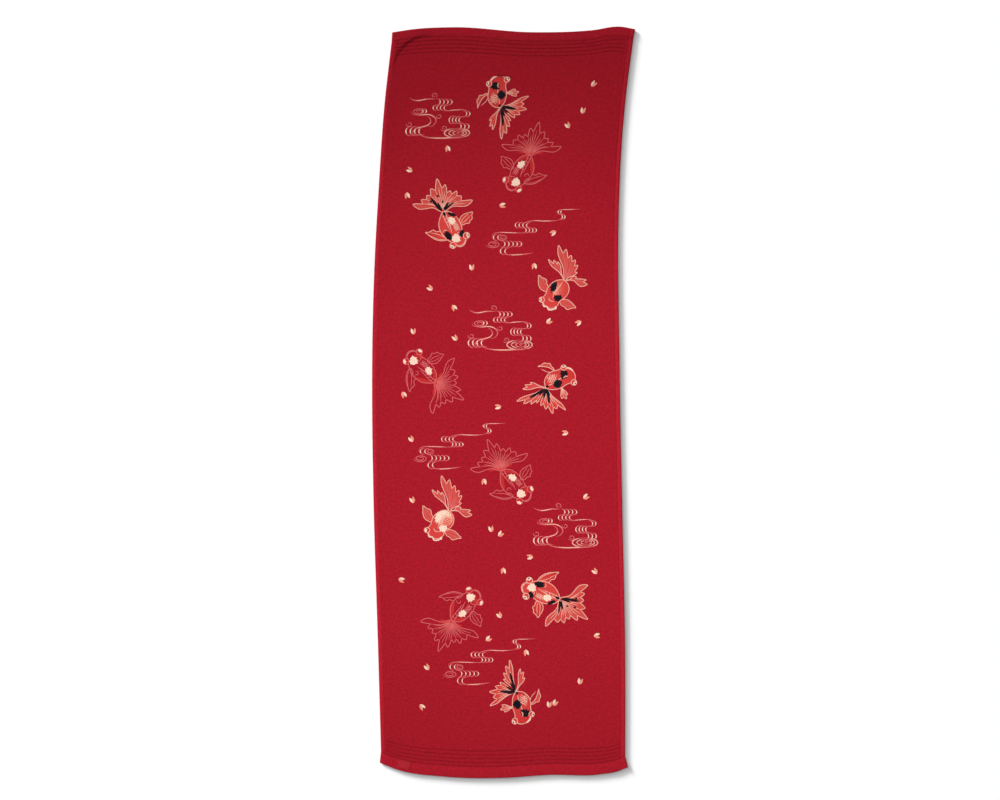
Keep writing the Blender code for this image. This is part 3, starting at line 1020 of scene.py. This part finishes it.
def label_material():
    made, nodes, shader = material("woven_tape", 0.75, 0.12, 0.05, (1.0, 0.45, 0.40))
    weave = nodes.attribute("weave").outputs["Vector"]
    across, along, _ = nodes.split(weave)
    satin = nodes.times(nodes.wave(across, LABEL_WARP), nodes.wave(along, LABEL_WEFT))
    fibres = nodes.noise(weave, 1500)
    shade = nodes.plus(nodes.times(satin, 0.22), nodes.times(fibres, 0.9))
    nodes.link(nodes.mix(shade, LABEL_DARK, LABEL_LIGHT), shader.inputs["Base Color"])
    nodes.link(nodes.bump(nodes.plus(satin, fibres), 0.00006, 0.5), shader.inputs["Normal"])
    return made


# ---- Sewing threads and label

STITCH = 0.0027
THREAD_RADIUS = 0.00021
SPOKES = 6  # points round a thread
# (place in the stitch, height over the cloth): down through the needle hole, then up on to the face
STITCH_SHAPE = (
    (0.0, -0.00050), (0.07, -0.00004), (0.22, 0.00018), (0.5, 0.00024), (0.78, 0.00018), (0.93, -0.00004),
)
SIDE_THREAD_STOP = 0.0022  # from an end seam to the end of a side hem's thread
THREAD_INSET = 0.0020  # from a side edge to the end of an end hem's thread


def add_piece(name, mesh, surface):
    mesh.materials.append(surface)
    made = bpy.data.objects.new(name, mesh)
    bpy.context.scene.collection.objects.link(made)
    return made


def tube(name, centres, radius):
    """A thread: a ring of points round every centre, closed at both ends."""
    centres = np.array(centres)
    ahead = np.gradient(centres, axis=0)
    ahead /= np.linalg.norm(ahead, axis=1)[:, None]
    out = np.cross(ahead, (0.0, 0.0, 1.0))
    out /= np.linalg.norm(out, axis=1)[:, None]
    up = np.cross(out, ahead)
    turn = (np.arange(SPOKES) * 2 * math.pi / SPOKES)[None, :, None]
    rings = centres[:, None, :] + radius * (np.cos(turn) * out[:, None, :] + np.sin(turn) * up[:, None, :])
    ids = np.arange(len(centres) * SPOKES).reshape(-1, SPOKES)
    following = np.roll(ids, -1, axis=1)
    faces = np.stack((ids[:-1], ids[1:], following[1:], following[:-1]), -1).reshape(-1, 4)
    caps = [ids[0].tolist(), ids[-1, ::-1].tolist()]
    mesh = smooth_mesh(name, rings.reshape(-1, 3).tolist(), faces.tolist() + caps)
    run = np.concatenate(([0.0], np.cumsum(np.linalg.norm(np.diff(centres, axis=0), axis=1))))
    ring, spoke = np.indices(ids[1:].shape)
    u = np.stack((run[ring], run[ring + 1], run[ring + 1], run[ring]), -1)
    v = np.stack((spoke, spoke, spoke + 1, spoke + 1), -1) / SPOKES
    layer = mesh.uv_layers.new(name="run")
    values = np.zeros((len(mesh.loops), 2))
    values[: u.size] = np.stack((u.ravel(), v.ravel()), -1)
    layer.data.foreach_set("uv", values.ravel())
    return mesh


def stitches(length, seam, on_face):
    """The path of one lockstitch thread. seam(distances) gives across and along for distances on the seam."""
    count = int(length / STITCH)
    parts, offsets = np.array(STITCH_SHAPE).T
    places = (np.arange(count)[:, None] + parts).ravel() * length / count
    across, along = seam(np.append(places, length))
    offsets = np.append(np.tile(offsets, count), offsets[0])
    x, y = plan(across, along)
    low, high = heights(across, along)
    z = high + offsets if on_face else low - offsets
    return np.stack((x, y, z), -1)


def side_seam(sign):
    """Length of a side hem's thread, and its path: across and along for distances on it."""
    start = -HALF_LENGTH + END_HEM["bottom"] + SIDE_THREAD_STOP

    def seam(distance):
        along = start + distance
        return sign * (half_width(along) - SIDE_HEM), along

    return 2 * HALF_LENGTH - END_HEM["bottom"] - END_HEM["top"] - 2 * SIDE_THREAD_STOP, seam


def end_seam(end):
    along = (HALF_LENGTH - END_HEM[end]) * (1 if end == "top" else -1)
    reach = float(half_width(np.array(along))) - THREAD_INSET

    def seam(distance):
        return distance - reach, np.full_like(distance, along)

    return 2 * reach, seam


LABEL_WIDTH = 0.0170
LABEL_LENGTH = 0.0100
LABEL_THICKNESS = 0.00042
LABEL_ACROSS = -0.805
LABEL_FROM_SEAM = 0.0008
LABEL_MIDDLE = 0.00355  # height of the middle of its thickness
LABEL_CAUGHT = 0.00235  # the same, where the hem's stitches hold it


def make_label():
    """A slip of woven tape: its top edge dips under the hem stitches, the rest lies on the hem."""
    along = np.array(-(HALF_LENGTH - END_HEM["bottom"] + LABEL_FROM_SEAM))
    half = half_width(along)
    left = np.array(plan(LABEL_ACROSS * half - LABEL_WIDTH / 2, along))
    right = np.array(plan(LABEL_ACROSS * half + LABEL_WIDTH / 2, along))
    middle = (left + right) / 2
    ahead = (right - left) / np.linalg.norm(right - left)
    up = np.array((-ahead[1], ahead[0]))
    columns = np.linspace(-0.5, 0.5, 53) * LABEL_WIDTH
    rows = np.concatenate((np.linspace(-LABEL_LENGTH, -0.0010, 37), np.linspace(-0.0008, 0.0007, 9)))
    a, b = np.meshgrid(columns, rows)
    to_edge = np.minimum(LABEL_WIDTH / 2 - abs(a), b + LABEL_LENGTH)
    selvedge = hollow(LABEL_WIDTH / 2 - abs(a) - 0.0004, 0.0008)
    ribs = 0.00003 * np.cos(b * 2 * math.pi / 0.0010)
    half_thick = LABEL_THICKNESS / 2 + ribs + 0.00004 * selvedge
    half_thick = half_thick * np.sqrt(np.clip(to_edge / 0.0002, 0.02, 1))
    drape = LABEL_MIDDLE + 0.00010 * np.sin(a * 380 + 0.5) * smoothstep(-b / 0.004)
    dip = smoothstep((b + 0.0006) / 0.0013)
    centre = drape * (1 - dip) + dip * LABEL_CAUGHT
    x = middle[0] + a * ahead[0] + b * up[0]
    y = middle[1] + a * ahead[1] + b * up[1]
    verts = [np.stack((x, y, centre + sign * half_thick), -1).reshape(-1, 3) for sign in (1, -1)]
    ids = np.arange(a.size).reshape(a.shape)
    quads = np.stack((ids[:-1, :-1], ids[:-1, 1:], ids[1:, 1:], ids[1:, :-1]), -1).reshape(-1, 4)
    rim = np.concatenate((ids[0, :-1], ids[:-1, -1], ids[-1, :0:-1], ids[:0:-1, 0]))
    following = np.roll(rim, -1)
    walls = np.stack((rim, rim + a.size, following + a.size, following), -1)
    faces = np.concatenate((quads, quads[:, ::-1] + a.size, walls))
    mesh = smooth_mesh("label", np.concatenate(verts).tolist(), faces.tolist())
    flat = np.stack((a.ravel(), b.ravel(), np.zeros(a.size)), -1)
    store(mesh, "weave", np.concatenate((flat, flat)))
    return mesh, middle, up


cloth = add_piece("cloth", make_cloth(), cloth_material())
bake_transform(cloth)
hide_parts("cloth_lower_half", "cloth_upper_half")

thread_look = thread_material()
threads = []
for hem, body in (("left", None), ("right", None), ("bottom", "lower_half"), ("top", "upper_half")):
    length, seam = end_seam(hem) if body else side_seam(-1 if hem == "left" else 1)
    for kind, on_face in (("needle", True), ("bobbin", False)):
        name = f"{hem}_hem_{kind}_thread"
        mesh = tube(name, stitches(length, seam, on_face), THREAD_RADIUS)
        piece = add_piece(f"{name}_run" if body else name, mesh, thread_look)
        if body:
            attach(piece, body)
            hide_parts(name)
        else:
            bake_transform(piece)
            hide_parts(f"{name}_lower", f"{name}_upper")
        threads.append(piece)

label_mesh, label_place, label_up = make_label()
label = add_piece("label", label_mesh, label_material())
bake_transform(label)
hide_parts("woven_label")

# ---- Table, light and camera

WORLD_STRENGTH = 0.115
# name, direction (degrees from +X, degrees over the table), width in degrees, strength, what it lights
SUNS = (
    ("low_sun", (135, 13.6), 12, 6.8, "table"),
    ("middle_sun", (135, 28), 32, 1.50, "table"),
    ("side_sun", (155, 40), 34, 3.15, "towel"),
    ("high_sun", (100, 84), 60, 0.92, None),
)
POOL_PLACE = (0.0, -0.100, 3.9)
POOL_RADIUS = 0.62
POOL_POWER = 415
POOL_SOURCE = 0.05  # radius of the lamp
TABLE_HALF = 14.0
TABLE_HEIGHT = -0.0004  # clear of the cloth's underside
CAMERA_PLACE = (-0.0048, 0.0032, 3.179)

table_mesh = bpy.data.meshes.new("table")
table_corners = [(x * TABLE_HALF, y * TABLE_HALF, 0) for x, y in ((-1, -1), (1, -1), (1, 1), (-1, 1))]
table_mesh.from_pydata(table_corners, [], [(0, 1, 2, 3)])
white, _, white_shader = material("white_table", 0.9, 0.1)
white_shader.inputs["Base Color"].default_value = (0.90, 0.90, 0.90, 1)
table = add_piece("table", table_mesh, white)
table.location.z = TABLE_HEIGHT

scene = bpy.context.scene
scene.view_settings.view_transform = "Standard"
world = bpy.data.worlds.new("studio")
scene.world = world
world.use_nodes = True
background = world.node_tree.nodes["Background"]
background.inputs["Color"].default_value = (1, 1, 1, 1)
background.inputs["Strength"].default_value = WORLD_STRENGTH


def add_light(name, data, lit):
    """Adds a light. lit: the pieces that it shines on, or None for everything."""
    made = bpy.data.objects.new(name, data)
    scene.collection.objects.link(made)
    if lit:
        made.light_linking.receiver_collection = bpy.data.collections.new(name + "_lights")
        for piece in lit:
            made.light_linking.receiver_collection.objects.link(piece)
    return made


towel = (cloth, *threads, label)
lit_pieces = {"table": (table,), "towel": towel, None: None}
for name, (azimuth, elevation), width, strength, lit in SUNS:
    data = bpy.data.lights.new(name, "SUN")
    data.angle = math.radians(width)
    data.energy = strength
    sun = add_light(name, data, lit_pieces[lit])
    sun.rotation_euler = (0, math.radians(90 - elevation), math.radians(azimuth))

data = bpy.data.lights.new("pool", "SPOT")
data.energy = POOL_POWER
data.spot_size = 2 * math.atan(POOL_RADIUS / POOL_PLACE[2])
data.spot_blend = 1.0
data.shadow_soft_size = POOL_SOURCE
add_light("pool", data, towel).location = POOL_PLACE

camera_data = bpy.data.cameras.new("camera")
camera_data.lens, camera_data.sensor_width = 85, 36
camera = bpy.data.objects.new("camera", camera_data)
scene.collection.objects.link(camera)
camera.location = CAMERA_PLACE
scene.camera = camera
